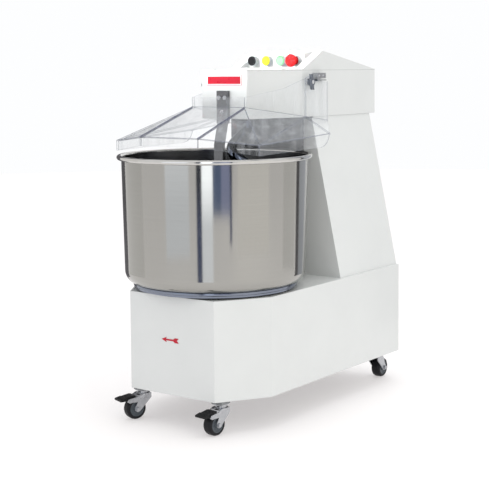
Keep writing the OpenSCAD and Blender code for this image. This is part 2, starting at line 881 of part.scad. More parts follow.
module castor_plates() {
    half = plate_w / 2;
    color("silver") for (c = castors) translate(c[1]) difference() {
        union() {
            block([-half, -half, plate_z], [half, half, plate_z + plate_t]);
            post(0, 0, race_z, plate_z, race_r);
        }
        post(0, 0, race_z - 1, plate_z + plate_t + 1, kingpin_r + fit);
    }
}

// Fork with its axle; braked forks carry a forward arm and the pedal's pin
module castor_fork(i, braked) {
    top = race_z - race_gap;
    leg = [[18, top], [18, 62], [-20, 25], [-28, 22.5], [-36, 27], [-36, 38], [-27, 52]];
    arm = [[-44, 53], [-54, 52], [-61, 56], [-59, 64], [-30, 68], [-14, top]];
    short = [[-27, 62], [-14, top]];
    side = leg_in + leg_t;
    color("lightgray") at_castor(i) {
        both_sides() along_x(leg_in, side) polygon(concat(leg, braked ? arm : short));
        post(0, 0, race_z - 6, top, crown_r);
        post(0, 0, race_z - 6, plate_z + 2, kingpin_r);
        rod_x(-side - 1, side + 1, -trail, axle_z, axle_r);
        both_sides() rod_x(side, side + 3, -trail, axle_z, axle_head_r);
        if (braked) rod_x(-side - 1, side + 1, brake_y, brake_z, brake_pin_r);
    }
}

module castor_wheel(i) {
    w = wheel_w / 2;
    r = wheel_d / 2;
    k = 5;
    corners = concat(arc(r - k, k - w, k, -90, 0, 4), arc(r - k, w - k, k, 0, 90, 4));
    color("black") at_castor(i) translate([0, -trail, axle_z]) rotate([0, 90, 0]) rotate_extrude()
        polygon(concat([[core_r, -w]], corners, [[core_r, w]]));
    color("dimgray") at_castor(i) difference() {
        union() {
            rod_x(3 - w, w - 3, -trail, axle_z, core_r);
            rod_x(-w, w, -trail, axle_z, 10);
        }
        rod_x(-w - 1, w + 1, -trail, axle_z, axle_r + fit);
    }
}

module brake_pedal(i) {
    w = leg_in - 0.5;
    color("black") at_castor(i) difference() {
        union() {
            along_x(-w, w) polygon([
                [-84, 60], [-84, 65.5], [-60, 70.5], [-40, 73.5], [-33, 72.5], [-33, 67],
                [-44, 66], [-49, 60], [-60, 59], [-64, 60]
            ]);
            along_x(-w - 4, w + 4) polygon([[-84, 60], [-84, 65.5], [-65, 69.5], [-65, 60]]);
            rod_x(-w, w, brake_y, brake_z, 5);
        }
        rod_x(-w - 1, w + 1, brake_y, brake_z, brake_pin_r + fit);
    }
}

module castor_fork_fl() { castor_fork(0, true); }
module castor_fork_fr() { castor_fork(1, true); }
module castor_fork_rl() { castor_fork(2, false); }
module castor_fork_rr() { castor_fork(3, false); }
module castor_wheel_fl() { castor_wheel(0); }
module castor_wheel_fr() { castor_wheel(1); }
module castor_wheel_rl() { castor_wheel(2); }
module castor_wheel_rr() { castor_wheel(3); }
module brake_pedal_fl() { brake_pedal(0); }
module brake_pedal_fr() { brake_pedal(1); }

base_shell();
base_rear_panel();
chassis_frame();
column_shell();
rear_cover();
head_shell();
nose_cover();
head_cover();
cover_screws();
name_badge();
direction_arrow();
bowl();
bowl_rim();
bowl_base();
bowl_foot_ring();
bowl_turntable();
bowl_shaft();
bowl_sprocket();
bowl_housing();
spiral_hook();
spiral_shaft();
spiral_pulley();
spiral_housing();
breaker_bar();
breaker_bar_bolts();
splash_shield();
guard_shell();
guard_pivots();
guard_knobs();
guard_buffer();
limit_switch();
switch_lever();
button_bezels();
button_black();
button_yellow();
button_green();
button_stop();
motor_body();
motor_mount();
motor_shaft();
motor_pulleys();
spiral_belt();
motor_belt();
jackshaft();
jackshaft_housing();
bowl_chain();
electrical_box();
cable_gland();
castor_plates();
castor_fork_fl();
castor_fork_fr();
castor_fork_rl();
castor_fork_rr();
castor_wheel_fl();
castor_wheel_fr();
castor_wheel_rl();
castor_wheel_rr();
brake_pedal_fl();
brake_pedal_fr();
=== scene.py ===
"""Looks of a floor-standing spiral dough mixer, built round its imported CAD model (metres)."""
import json
import math

import bmesh
import bpy
from mathutils import Matrix, Vector


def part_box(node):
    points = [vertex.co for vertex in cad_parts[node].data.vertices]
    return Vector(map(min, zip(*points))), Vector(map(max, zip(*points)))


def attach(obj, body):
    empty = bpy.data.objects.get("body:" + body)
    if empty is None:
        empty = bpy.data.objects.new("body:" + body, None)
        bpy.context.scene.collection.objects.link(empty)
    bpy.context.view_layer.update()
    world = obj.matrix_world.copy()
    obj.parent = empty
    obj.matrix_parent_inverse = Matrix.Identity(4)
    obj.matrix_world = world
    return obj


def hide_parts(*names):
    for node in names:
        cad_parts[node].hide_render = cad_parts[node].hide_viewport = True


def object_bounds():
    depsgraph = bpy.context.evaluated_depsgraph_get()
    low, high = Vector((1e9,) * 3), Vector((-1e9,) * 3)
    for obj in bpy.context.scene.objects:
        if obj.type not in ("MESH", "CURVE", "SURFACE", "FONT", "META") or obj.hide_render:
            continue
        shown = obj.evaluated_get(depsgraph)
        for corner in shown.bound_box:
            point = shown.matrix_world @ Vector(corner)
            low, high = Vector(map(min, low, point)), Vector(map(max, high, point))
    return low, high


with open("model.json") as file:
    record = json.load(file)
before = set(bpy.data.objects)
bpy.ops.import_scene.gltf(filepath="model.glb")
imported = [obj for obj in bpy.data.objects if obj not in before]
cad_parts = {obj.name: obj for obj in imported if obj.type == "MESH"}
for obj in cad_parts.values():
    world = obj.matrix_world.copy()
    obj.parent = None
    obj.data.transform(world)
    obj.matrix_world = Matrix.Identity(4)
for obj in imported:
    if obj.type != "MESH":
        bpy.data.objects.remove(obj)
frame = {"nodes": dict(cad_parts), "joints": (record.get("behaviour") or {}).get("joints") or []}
cad_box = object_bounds()
nodes = frame["nodes"]
MM = 0.001
CORNERS = ("fl", "fr", "rl", "rr")
SAME_PLACE = 0.002 * MM
TO_FRONT = (0, -1, 0)


# ---- Helpers ----

def node_centre(node):
    lo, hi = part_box(node)
    return (lo + hi) / 2


def add_object(name, data):
    item = bpy.data.objects.new(name, data)
    bpy.context.scene.collection.objects.link(item)
    return item


def finish_piece(name, mesh, body, material, replaced=(), smooth_angle=35.0):
    """Links a mesh as a piece that rides on a body and takes a material slot's finish."""
    piece = add_object(name, mesh)
    if not mesh.materials:
        mesh.materials.append(material)
    for polygon in mesh.polygons:
        polygon.use_smooth = True
    mesh.set_sharp_from_angle(angle=math.radians(smooth_angle))
    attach(piece, body)
    if replaced:
        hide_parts(*replaced)
    return piece


def bevel(piece, width, segments=3, angle=30.0):
    mod = piece.modifiers.new("rounded_edges", "BEVEL")
    mod.width = width
    mod.segments = segments
    mod.limit_method = "ANGLE"
    mod.angle_limit = math.radians(angle)
    mod.harden_normals = True
    mod.use_clamp_overlap = True
    mod.miter_outer = "MITER_ARC"
    return piece


def rounded_copy(node, name, body, material, width, segments=3):
    """Replaces a CAD node by a copy with its coplanar faces joined and its edges rounded."""
    mesh = nodes[node].data.copy()
    mesh.materials.clear()
    mesh.materials.append(material)
    bm = bmesh.new()
    bm.from_mesh(mesh)
    bmesh.ops.remove_doubles(bm, verts=bm.verts, dist=SAME_PLACE)
    coplanar = math.radians(0.6)
    bmesh.ops.dissolve_limit(bm, angle_limit=coplanar, verts=bm.verts, edges=bm.edges)
    bmesh.ops.recalc_face_normals(bm, faces=bm.faces)
    bm.to_mesh(mesh)
    bm.free()
    for polygon in mesh.polygons:
        polygon.material_index = 0
    piece = finish_piece(name, mesh, body, material, (node,))
    return bevel(piece, width, segments)


def basis(axis):
    """Two directions at right angles to an axis, and the axis itself."""
    w = Vector(axis).normalized()
    u = Vector((1, 0, 0)) if abs(w.x) < 0.9 else Vector((0, 0, 1))
    u = (u - w * u.dot(w)).normalized()
    return u, w.cross(u), w


def fillet(points, radius, steps=4):
    """An open outline with its inner corners rounded."""
    out = [points[0]]
    for a, b, c in zip(points, points[1:], points[2:]):
        a, b, c = Vector(a), Vector(b), Vector(c)
        r = min(radius, (a - b).length * 0.45, (c - b).length * 0.45)
        start, end = b + (a - b).normalized() * r, b + (c - b).normalized() * r
        for i in range(steps + 1):
            t = i / steps
            out.append(tuple((1 - t) ** 2 * start + 2 * t * (1 - t) * b + t * t * end))
    out.append(points[-1])
    return out


def skin(bm, rings, closed=False):
    """Joins rings of equally many vertices by quads; closed also joins the last ring to the first."""
    count = len(rings[0])
    for low, high in zip(rings, rings[1:] + (rings[:1] if closed else [])):
        for i in range(count):
            j = (i + 1) % count
            bm.faces.new((low[i], low[j], high[j], high[i]))


def lathe_into(bm, profile, centre, axis=(0, 0, 1), segments=96, closed=False):
    """Turns (radius, height) points round an axis through centre; a point on the axis closes the end."""
    u, v, w = basis(axis)
    rings = []
    for radius, height in profile:
        if radius < 1e-7:
            rings.append([bm.verts.new(centre + w * height)])
            continue
        ring = []
        for i in range(segments):
            a = 2 * math.pi * i / segments
            ring.append(bm.verts.new(centre + w * height + (u * math.cos(a) + v * math.sin(a)) * radius))
        rings.append(ring)
    pairs = list(zip(rings, rings[1:])) + ([(rings[-1], rings[0])] if closed else [])
    for low, high in pairs:
        for i in range(segments):
            j = (i + 1) % segments
            corners = [low[i % len(low)], low[j % len(low)], high[j % len(high)], high[i % len(high)]]
            unique = [c for k, c in enumerate(corners) if c not in corners[:k]]
            if len(unique) > 2:
                bm.faces.new(unique)


def mesh_from(name, bm):
    bmesh.ops.recalc_face_normals(bm, faces=bm.faces)
    mesh = bpy.data.meshes.new(name)
    bm.to_mesh(mesh)
    bm.free()
    return mesh


def lathe(name, profile, centre, body, material, axis=(0, 0, 1), segments=96, closed=False,
          replaced=(), smooth_angle=35.0):
    bm = bmesh.new()
    lathe_into(bm, profile, Vector(centre), axis, segments, closed)
    return finish_piece(name, mesh_from(name, bm), body, material, replaced, smooth_angle)


def prism_into(bm, outline, centre, axis, low, high, turn=0.0):
    """Extrudes a closed 2D outline along an axis."""
    u, v, w = basis(axis)
    c, s = math.cos(turn), math.sin(turn)
    rings = []
    for height in (low, high):
        rings.append([bm.verts.new(centre + w * height + u * (c * x - s * y) + v * (s * x + c * y))
                      for x, y in outline])
    bm.faces.new(rings[0][::-1])
    bm.faces.new(rings[1])
    skin(bm, rings)


def regular(count, radius):
    """Corners of a regular polygon."""
    turns = [2 * math.pi * i / count for i in range(count)]
    return [(radius * math.cos(a), radius * math.sin(a)) for a in turns]


def box_into(bm, lo, hi):
    lo, hi = Vector(lo), Vector(hi)
    outline = [(lo.x, lo.y), (hi.x, lo.y), (hi.x, hi.y), (lo.x, hi.y)]
    prism_into(bm, outline, Vector((0, 0, 0)), (0, 0, 1), lo.z, hi.z)


# ---- Materials ----

class Surface:
    """A procedural Principled material, with its object coordinates at hand."""

    def __init__(self, name, color, roughness=0.5, metallic=0.0, **sockets):
        self.material = bpy.data.materials.new(name)
        self.material.use_nodes = True
        self.nodes = self.material.node_tree.nodes
        self.links = self.material.node_tree.links
        self.bsdf = self.nodes["Principled BSDF"]
        self.place = self.nodes.new("ShaderNodeTexCoord").outputs["Object"]
        self.bsdf.inputs["Base Color"].default_value = (*color, 1)
        self.bsdf.inputs["Roughness"].default_value = roughness
        self.bsdf.inputs["Metallic"].default_value = metallic
        for key, value in sockets.items():
            self.bsdf.inputs[key.replace("_", " ")].default_value = value
        self.height = None

    def noise(self, scale, stretch=(1, 1, 1), detail=4.0, roughness=0.55):
        mapping = self.nodes.new("ShaderNodeMapping")
        mapping.inputs["Scale"].default_value = stretch
        self.links.new(self.place, mapping.inputs["Vector"])
        noise = self.nodes.new("ShaderNodeTexNoise")
        noise.inputs["Scale"].default_value = scale
        noise.inputs["Detail"].default_value = detail
        noise.inputs["Roughness"].default_value = roughness
        self.links.new(mapping.outputs["Vector"], noise.inputs["Vector"])
        return noise.outputs["Fac"]

    def spread(self, value, low, high, start=0.3, end=0.7):
        node = self.nodes.new("ShaderNodeMapRange")
        node.inputs["From Min"].default_value = start
        node.inputs["From Max"].default_value = end
        node.inputs["To Min"].default_value = low
        node.inputs["To Max"].default_value = high
        self.links.new(value, node.inputs["Value"])
        return node.outputs["Result"]

    def tint(self, factor, color_a, color_b):
        """Base colour between two colours."""
        mix = self.nodes.new("ShaderNodeMix")
        mix.data_type = "RGBA"
        mix.inputs["A"].default_value = (*color_a, 1)
        mix.inputs["B"].default_value = (*color_b, 1)
        self.links.new(factor, mix.inputs["Factor"])
        self.links.new(mix.outputs["Result"], self.bsdf.inputs["Base Color"])
        return self

    def rough(self, factor):
        self.links.new(factor, self.bsdf.inputs["Roughness"])
        return self

    def bump(self, value, distance, strength=1.0):
        node = self.nodes.new("ShaderNodeBump")
        node.inputs["Distance"].default_value = distance
        node.inputs["Strength"].default_value = strength
        self.links.new(value, node.inputs["Height"])
        if self.height is not None:
            self.links.new(self.height, node.inputs["Normal"])
        self.height = node.outputs["Normal"]
        self.links.new(self.height, self.bsdf.inputs["Normal"])
        return self


def painted(name, color, shade, roughness=0.34):
    """Powder coat: fine orange peel, faint mottling, gloss that varies a little."""
    s = Surface(name, color, roughness, Coat_Weight=0.15, Coat_Roughness=0.25)
    s.tint(s.spread(s.noise(7.0, detail=6.0), 0, 1), color, shade)
    s.rough(s.spread(s.noise(60.0), roughness - 0.05, roughness + 0.08))
    return s.bump(s.noise(620.0, detail=2.0), 0.00006).material


def steel(name, color, shade, roughness, stretch, anisotropic=0.0):
    """Brushed or spun steel: fine streaks along one direction in colour, gloss and height."""
    s = Surface(name, color, roughness, 1.0, Anisotropic=anisotropic)
    streaks = s.noise(1.0, stretch, detail=5.0, roughness=0.7)
    s.tint(s.spread(streaks, 0, 1), shade, color)
    gloss = s.noise(1.0, [v * 0.6 for v in stretch], detail=3.0)
    s.rough(s.spread(gloss, roughness * 0.8, roughness * 1.25))
    return s.bump(streaks, 0.00002, 0.5).material


def plastic(name, color, shade, roughness, grain=900.0, depth=0.00004, gloss=0.5):
    """Moulded plastic: fine grain and slightly uneven gloss."""
    s = Surface(name, color, roughness, Specular_IOR_Level=gloss)
    s.tint(s.spread(s.noise(25.0, detail=5.0), 0, 1), color, shade)
    s.rough(s.spread(s.noise(140.0), roughness * 0.85, roughness * 1.2))
    return s.bump(s.noise(grain, detail=1.0), depth).material


def cast(name, color, shade, roughness=0.55):
    """Machined casting: blotchy tone and a coarse, dull skin."""
    s = Surface(name, color, roughness, 0.85)
    s.tint(s.spread(s.noise(40.0, detail=8.0), 0, 1), color, shade)
    s.rough(s.spread(s.noise(200.0), roughness - 0.1, roughness + 0.12))
    return s.bump(s.noise(420.0, detail=3.0), 0.00015).material


def clear_sheet(name, color, low, high, roughness=0.06, streak=0.0):
    """Clear formed sheet: nearly invisible face on, hazier at a slant, with faint upright streaks."""
    s = Surface(name, color, roughness, Specular_IOR_Level=0.6)
    facing = s.nodes.new("ShaderNodeLayerWeight")
    facing.inputs["Blend"].default_value = 0.35
    haze = s.spread(facing.outputs["Facing"], low, high, 0.0, 1.0)
    streaks = s.spread(s.noise(1.0, (45, 45, 3), detail=2.0), 0.0, streak, 0.52, 0.7)
    total = s.nodes.new("ShaderNodeMath")
    total.operation = "ADD"
    s.links.new(haze, total.inputs[0])
    s.links.new(streaks, total.inputs[1])
    s.links.new(total.outputs["Value"], s.bsdf.inputs["Alpha"])
    s.rough(s.spread(s.noise(18.0, detail=6.0), roughness, roughness * 2.5))
    return s.bump(s.noise(9.0, detail=2.0), 0.0006, 0.4).material


def painted_reflection_sheet(name, dark, light, roughness=0.12):
    """Polished sheet with painted reflection: its base colour drifts in soft upright bands from a dark to a
    light tone, standing in for what the sheet would mirror.
    """
    s = Surface(name, dark, roughness, 1.0)
    # painted reflection: the dark and light bands are reflections laid into the base colour
    s.tint(s.spread(s.noise(1.0, (38, 38, 2.5), detail=3.0), 0, 1, 0.42, 0.66), dark, light)
    s.rough(s.spread(s.noise(30.0, (1, 1, 0.1)), roughness * 0.7, roughness * 1.6))
    return s.bump(s.noise(1.0, (500, 500, 6)), 0.00002, 0.5).material


WHITE = painted("white_powder_coat", (0.68, 0.695, 0.69), (0.655, 0.67, 0.666))
FRAME_PAINT = painted("frame_enamel", (0.25, 0.26, 0.27), (0.20, 0.21, 0.22), 0.4)
MOTOR_PAINT = painted("motor_enamel", (0.07, 0.12, 0.17), (0.05, 0.09, 0.13), 0.42)
BOWL_OUT = steel("spun_steel_outside", (0.385, 0.380, 0.358), (0.350, 0.345, 0.325), 0.085,
                 (5, 5, 1400), 0.25)
# Inside of the bowl: the satin gloss is its own finish; its tone darker than the outside is painted shade
# of the hollow
BOWL_IN_SHADED = steel("spun_steel_inside_shaded", (0.27, 0.275, 0.28), (0.22, 0.22, 0.225), 0.2, (5, 5, 1200), 0.4)
RIM = steel("rolled_rim_steel", (0.60, 0.59, 0.57), (0.54, 0.53, 0.51), 0.1, (60, 60, 900))
BRUSHED = steel("brushed_steel", (0.50, 0.51, 0.52), (0.40, 0.41, 0.42), 0.27, (1200, 60, 60))
# Splash shield and hook: near-black steel with lighter bands, a painted reflection of the dark surroundings
# they mirror
SHIELD_PAINTED_REFLECTION = painted_reflection_sheet("polished_sheet_painted_reflection", (0.018, 0.019, 0.021), (0.14, 0.142, 0.15))
HOOK_PAINTED_REFLECTION = painted_reflection_sheet("hook_steel_painted_reflection", (0.012, 0.016, 0.03), (0.22, 0.25, 0.31), 0.1)
BLADE = steel("blade_steel", (0.20, 0.202, 0.21), (0.15, 0.152, 0.16), 0.2, (900, 60, 10))
DARK_STEEL = steel("blued_steel", (0.13, 0.15, 0.19), (0.08, 0.09, 0.12), 0.24, (8, 8, 900))
FOOT_STEEL = steel("foot_steel", (0.24, 0.265, 0.32), (0.17, 0.19, 0.24), 0.16, (8, 8, 900))
KNOB_STEEL = steel("knob_steel", (0.30, 0.32, 0.36), (0.16, 0.18, 0.22), 0.18, (300, 300, 300))
CHROME = steel("chrome_plate", (0.72, 0.73, 0.75), (0.66, 0.67, 0.69), 0.08, (200, 200, 200))
ZINC = steel("zinc_plate", (0.52, 0.53, 0.55), (0.42, 0.43, 0.45), 0.3, (90, 90, 90))
CAST = cast("machined_casting", (0.11, 0.115, 0.12), (0.07, 0.072, 0.075))
RUBBER = plastic("black_rubber", (0.018, 0.018, 0.019), (0.03, 0.03, 0.031), 0.7, 500.0, 0.00008)
TREAD = plastic("hard_tread", (0.010, 0.010, 0.012), (0.018, 0.018, 0.020), 0.42, 700.0, gloss=0.14)
CORE_GREY = plastic("wheel_core", (0.065, 0.078, 0.09), (0.09, 0.10, 0.115), 0.38, gloss=0.3)
BLACK = plastic("black_moulding", (0.007, 0.007, 0.008), (0.012, 0.012, 0.013), 0.36, gloss=0.15)
GREY = plastic("grey_moulding", (0.42, 0.43, 0.44), (0.36, 0.37, 0.38), 0.45)
YELLOW = plastic("yellow_cap", (0.90, 0.84, 0.02), (0.84, 0.76, 0.01), 0.22, 400.0, 0.00001)
GREEN = plastic("green_cap", (0.22, 0.74, 0.26), (0.17, 0.66, 0.2), 0.22, 400.0, 0.00001)
RED = plastic("red_cap", (0.66, 0.010, 0.012), (0.60, 0.009, 0.01), 0.25, 400.0, 0.00001, gloss=0.3)
BADGE_RED = plastic("badge_film", (0.50, 0.010, 0.03), (0.46, 0.009, 0.025), 0.3, 300.0, 0.00001, gloss=0.3)
BADGE_WHITE = plastic("badge_border", (0.82, 0.80, 0.79), (0.78, 0.76, 0.75), 0.35, 300.0, 0.00001)
CLEAR = clear_sheet("clear_sheet", (0.80, 0.83, 0.87), 0.015, 0.24, 0.06, 0.09)
# Cut edges of the clear sheet: the sheet's own tint along the edge, with painted reflection making it
# darker and bluish
CLEAR_EDGE_TINT_AND_REFLECTION = clear_sheet("clear_sheet_edge_tint_and_reflection", (0.30, 0.32, 0.40), 0.35, 0.70, 0.12)
# Fold lines: painted reflection, dark and pale lines where only light bending at a fold makes the clear
# sheet show
DARK_CREASE_REFLECTION = clear_sheet("dark_crease_reflection", (0.10, 0.11, 0.19), 0.55, 0.8, 0.12)
PALE_CREASE_REFLECTION = clear_sheet("pale_crease_reflection", (0.28, 0.30, 0.36), 0.35, 0.6, 0.12)


def repaint(material, *names):
    """Gives CAD nodes a new material in every slot."""
    for name in names:
        mesh = nodes[name].data
        if not mesh.materials:
            mesh.materials.append(material)
        for i in range(len(mesh.materials)):
            mesh.materials[i] = material


# ---- Casings ----

def casings():
    """Painted sheet casings and the frame inside the plinth."""
    for node, name, width in (("base_shell", "plinth_casing", 1.4),
                              ("base_rear_panel", "plinth_rear_panel", 0.8),
                              ("column_shell", "column_casing", 1.4),
                              ("rear_cover", "rear_panel", 0.5),
                              ("head_shell", "head_casing", 1.2),
                              ("nose_cover", "nose_lid", 1.0),
                              ("head_cover", "pitched_lid", 1.2)):
        rounded_copy(node, name, "frame", WHITE, width * MM)
    repaint(FRAME_PAINT, "chassis_frame", "motor_mount")
    shaded_lid_groove()


def shaded_lid_groove():
    """Black strip in the groove between the head casing and its lids: painted shade, standing in for the
    shadow in the seam.
    """
    lo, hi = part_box("head_shell")
    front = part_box("nose_cover")[0].y
    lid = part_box("head_cover")[0].y
    inset, half, width, taper = 0.35 * MM, 1.3 * MM, 4 * MM, 0.97
    nose = nose_half_width()
    outline = [(-nose + inset, front + inset), (nose - inset, front + inset), (hi.x - inset, lid),
               (hi.x - inset, hi.y - inset), (lo.x + inset, hi.y - inset), (lo.x + inset, lid)]
    inward = [width, width, 0, -width, -width, 0]
    inner = [(x * taper, y + step) for (x, y), step in zip(outline, inward)]
    bm = bmesh.new()
    rings = [[bm.verts.new((x, y, hi.z + z)) for x, y in ring]
             for ring, z in ((outline, -half), (outline, half), (inner, half), (inner, -half))]
    skin(bm, rings, closed=True)
    # painted shade: the black strip stands in for the shadow in the seam
    finish_piece("lid_groove_shade_strip", mesh_from("lid_groove_shade_strip", bm), "frame", RUBBER)


def nose_half_width():
    """Half width of the nose's front face, read from the CAD lid."""
    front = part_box("nose_cover")[0].y
    return max(v.co.x for v in nodes["nose_cover"].data.vertices if v.co.y < front + 1 * MM)


def badge():
    """Plain red plate with a white border, on the nose's front."""
    lo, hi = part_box("name_badge")
    border, inset = 2.6 * MM, 1.2 * MM
    face, raised = lo.y + 1.2 * MM, lo.y + 0.4 * MM
    bm = bmesh.new()
    box_into(bm, (lo.x, face, lo.z), (hi.x, hi.y, hi.z))
    plate = finish_piece("badge_plate", mesh_from("badge_plate", bm), "frame", BADGE_RED,
                         ("name_badge",))
    bevel(plate, 0.3 * MM, 2)
    left, low, right, high = lo.x + inset, lo.z + inset, hi.x - inset, hi.z - inset
    bm = bmesh.new()
    for x0, z0, x1, z1 in ((left, low, right, low + border), (left, high - border, right, high),
                           (left, low + border, left + border, high - border),
                           (right - border, low + border, right, high - border)):
        box_into(bm, (x0, raised, z0), (x1, face, z1))
    bmesh.ops.remove_doubles(bm, verts=bm.verts, dist=0.001 * MM)
    frame_piece = finish_piece("badge_border", mesh_from("badge_border", bm), "frame", BADGE_WHITE)
    bevel(frame_piece, 0.15 * MM, 2)


def arrow():
    """Red arrow with a swept head and a notched tail, inside the CAD arrow's box."""
    lo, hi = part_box("direction_arrow")
    middle = (lo + hi) / 2
    half_l, half_h = (hi.x - lo.x) / 2, (hi.z - lo.z) / 2
    shaft, tail = 0.32, 0.92
    upper = [(-1.0, 0.0), (-0.42, 1.0), (-0.50, shaft), (0.36, shaft), (0.58, tail), (1.0, tail),
             (0.80, 0.0)]
    lower = [(x, -z) for x, z in reversed(upper[1:-1])]
    outline = [(x * half_l, z * half_h) for x, z in upper + lower]
    bm = bmesh.new()
    prism_into(bm, outline, Vector((middle.x, 0, middle.z)), (0, 1, 0), lo.y, hi.y)
    mark = finish_piece("arrow_mark", mesh_from("arrow_mark", bm), "frame", BADGE_RED,
                        ("direction_arrow",))
    bevel(mark, 0.2 * MM, 2)


def screw_head(bm, place, axis, radius, height):
    """Domed head with a round pit and a cross slot."""
    shoulder, floor, steps = 0.35, 0.45, 6
    pit_top, pit_floor = radius * 0.22, radius * 0.18
    dome = [(radius, 0.0), (radius, height * shoulder)]
    for i in range(1, steps):
        a = math.pi / 2 * i / steps
        dome.append((radius * math.cos(a), height * (shoulder + (1 - shoulder) * math.sin(a))))
    dome += [(pit_top, height), (pit_floor, height * floor), (0, height * floor)]
    lathe_into(bm, dome, place, axis, 32)
    arm, slot = radius * 0.62, radius * 0.09
    outline = [(-arm, -slot), (arm, -slot), (arm, slot), (-arm, slot)]
    for turn in (0.0, math.pi / 2):
        prism_into(bm, outline, place, axis, height * 0.78, height * 0.93, turn)


def cover_screws():
    """Screws of the rear panels and the nose lid, placed on the CAD screws' own islands."""
    height, rear_head, nose_head = 2 * MM, 5.5 * MM, 5 * MM
    bm = bmesh.new()
    for lo, hi in islands("cover_screws"):
        middle = (lo + hi) / 2
        if hi.y > cad_box[1].y * 0.8:
            screw_head(bm, Vector((middle.x, hi.y - height, middle.z)), (0, 1, 0), rear_head, height)
        else:
            screw_head(bm, Vector((middle.x, middle.y, hi.z - height)), (0, 0, 1), nose_head, height)
    finish_piece("cover_screw_heads", mesh_from("cover_screw_heads", bm), "frame", ZINC,
                 ("cover_screws",))


def islands(node):
    """Boxes of a CAD node's separate solids."""
    mesh = nodes[node].data
    bm = bmesh.new()
    bm.from_mesh(mesh)
    bmesh.ops.remove_doubles(bm, verts=bm.verts, dist=SAME_PLACE)
    seen, boxes = set(), []
    for start in bm.verts:
        if start in seen:
            continue
        stack, group = [start], []
        seen.add(start)
        while stack:
            vert = stack.pop()
            group.append(vert.co.copy())
            for edge in vert.link_edges:
                other = edge.other_vert(vert)
                if other not in seen:
                    seen.add(other)
                    stack.append(other)
        lo = Vector([min(c[i] for c in group) for i in range(3)])
        hi = Vector([max(c[i] for c in group) for i in range(3)])
        boxes.append((lo, hi))
    bm.free()
    return boxes


# ---- Bowl and dough tools ----

def bowl():
    """Spun bowl with a rolled rim, a soft bottom corner and a foot ring."""
    lo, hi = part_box("bowl")
    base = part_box("bowl_base")
    rim_lo, rim_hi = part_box("bowl_rim")
    centre = Vector(((lo.x + hi.x) / 2, (lo.y + hi.y) / 2, base[0].z))
    wall = 2.5 * MM
    height, corner = hi.z - base[0].z, lo.z - base[0].z
    top_r, low_r = (hi.x - lo.x) / 2, (base[1].x - base[0].x) / 2
    corner_steps, bead_steps, segments = 14, 28, 200

    def side(offset):
        points = [(top_r - offset, height)]
        reach = corner - offset
        for i in range(corner_steps + 1):
            a = math.pi / 2 * i / corner_steps
            points.append((low_r - corner + reach * math.cos(a), corner - reach * math.sin(a)))
        return points + [(0, offset)]

    lathe("bowl_outside", side(0), centre, "bowl", BOWL_OUT, segments=segments,
          replaced=("bowl", "bowl_base"))
    # the inside takes the darker copy of the steel, painted shade
    lathe("bowl_inside", side(wall), centre, "bowl", BOWL_IN_SHADED, segments=segments)
    rim_out = (rim_hi.x - rim_lo.x) / 2
    bead = (rim_hi.z - rim_lo.z) / 2
    inner = top_r - wall + bead
    rim = []
    for i in range(bead_steps):
        a = 2 * math.pi * i / bead_steps
        middle = rim_out - bead if math.cos(a) > 0 else inner
        rim.append((middle + bead * math.cos(a), height + bead * math.sin(a)))
    lathe("bowl_rim_bead", rim, centre, "bowl", RIM, segments=segments, closed=True,
          replaced=("bowl_rim",))
    foot_ring(centre)
    repaint(DARK_STEEL, "bowl_turntable", "bowl_sprocket")
    repaint(BRUSHED, "bowl_shaft")


def foot_ring(centre):
    """Stepped ring under the bowl, with a dished top."""
    lo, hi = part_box("bowl_foot_ring")
    outer, depth = (hi.x - lo.x) / 2, hi.z - lo.z
    width, step, dish = 10 * MM, 2 * MM, 3 * MM
    inner, low = outer - width, depth - dish
    ring = fillet([(inner, low), (outer, depth), (outer, depth * 0.5), (outer - step, depth * 0.4),
                   (outer - step, 0), (inner, 0), (inner, low - 0.2 * MM)], 1.0 * MM)
    lathe("bowl_foot", ring, Vector((centre.x, centre.y, lo.z)), "bowl", FOOT_STEEL,
          segments=160, closed=True, replaced=("bowl_foot_ring",))


def smooth(t):
    """Runs from 0 to 1 with level ends."""
    t = min(max(t, 0.0), 1.0)
    return t * t * (3 - 2 * t)


def spiral_hook():
    """Round bar that winds down from the shaft, with a rounded tip."""
    lo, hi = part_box("spiral_hook")
    shaft = node_centre("spiral_shaft")
    bar, sweep = 16 * MM, 92 * MM
    reach = sweep - bar
    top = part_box("spiral_shaft")[0].z
    bottom = lo.z + bar * 0.99
    start, turn = math.radians(180), math.radians(430)
    swung_out, tuck_from, tuck, sag = 0.24, 0.8, 0.35, 0.08
    steps, sides, tip, inside = 220, 28, 0.965, 0.985

    def point(t):
        a = start + turn * t
        tucked = 1 - tuck * smooth((t - tuck_from) / (1 - tuck_from))
        r = reach * smooth(t / swung_out) * tucked
        z = top + (bottom - top) * ((1 - sag) * t + sag * t * t)
        return Vector((shaft.x + r * math.cos(a), shaft.y + r * math.sin(a), z))

    def ring(t):
        near = 0.002
        along = (point(min(t + near, 1.0)) - point(max(t - near, 0.0))).normalized()
        if t == 0:
            along = Vector((0, 0, -1))
        a = start + turn * t
        u = Vector((math.cos(a), math.sin(a), 0))
        u = (u - along * u.dot(along)).normalized()
        v = along.cross(u)
        k = bar * inside
        if t > tip:
            k *= math.sqrt(max(0.0, 1 - ((t - tip) / (1 - tip)) ** 2))
        return [point(t) + (u * math.cos(b) + v * math.sin(b)) * k
                for b in (2 * math.pi * j / sides for j in range(sides))]

    bm = bmesh.new()
    rings = [[bm.verts.new(place) for place in ring(i / steps)] for i in range(steps)]
    end = bm.verts.new(point(1.0))
    bm.faces.new(rings[0])
    skin(bm, rings)
    for j in range(sides):
        bm.faces.new((rings[-1][j], rings[-1][(j + 1) % sides], end))
    # the hook bar and its shaft take the painted reflection steel
    finish_piece("hook_bar", mesh_from("hook_bar", bm), "spiral", HOOK_PAINTED_REFLECTION, ("spiral_hook",))
    repaint(HOOK_PAINTED_REFLECTION, "spiral_shaft")


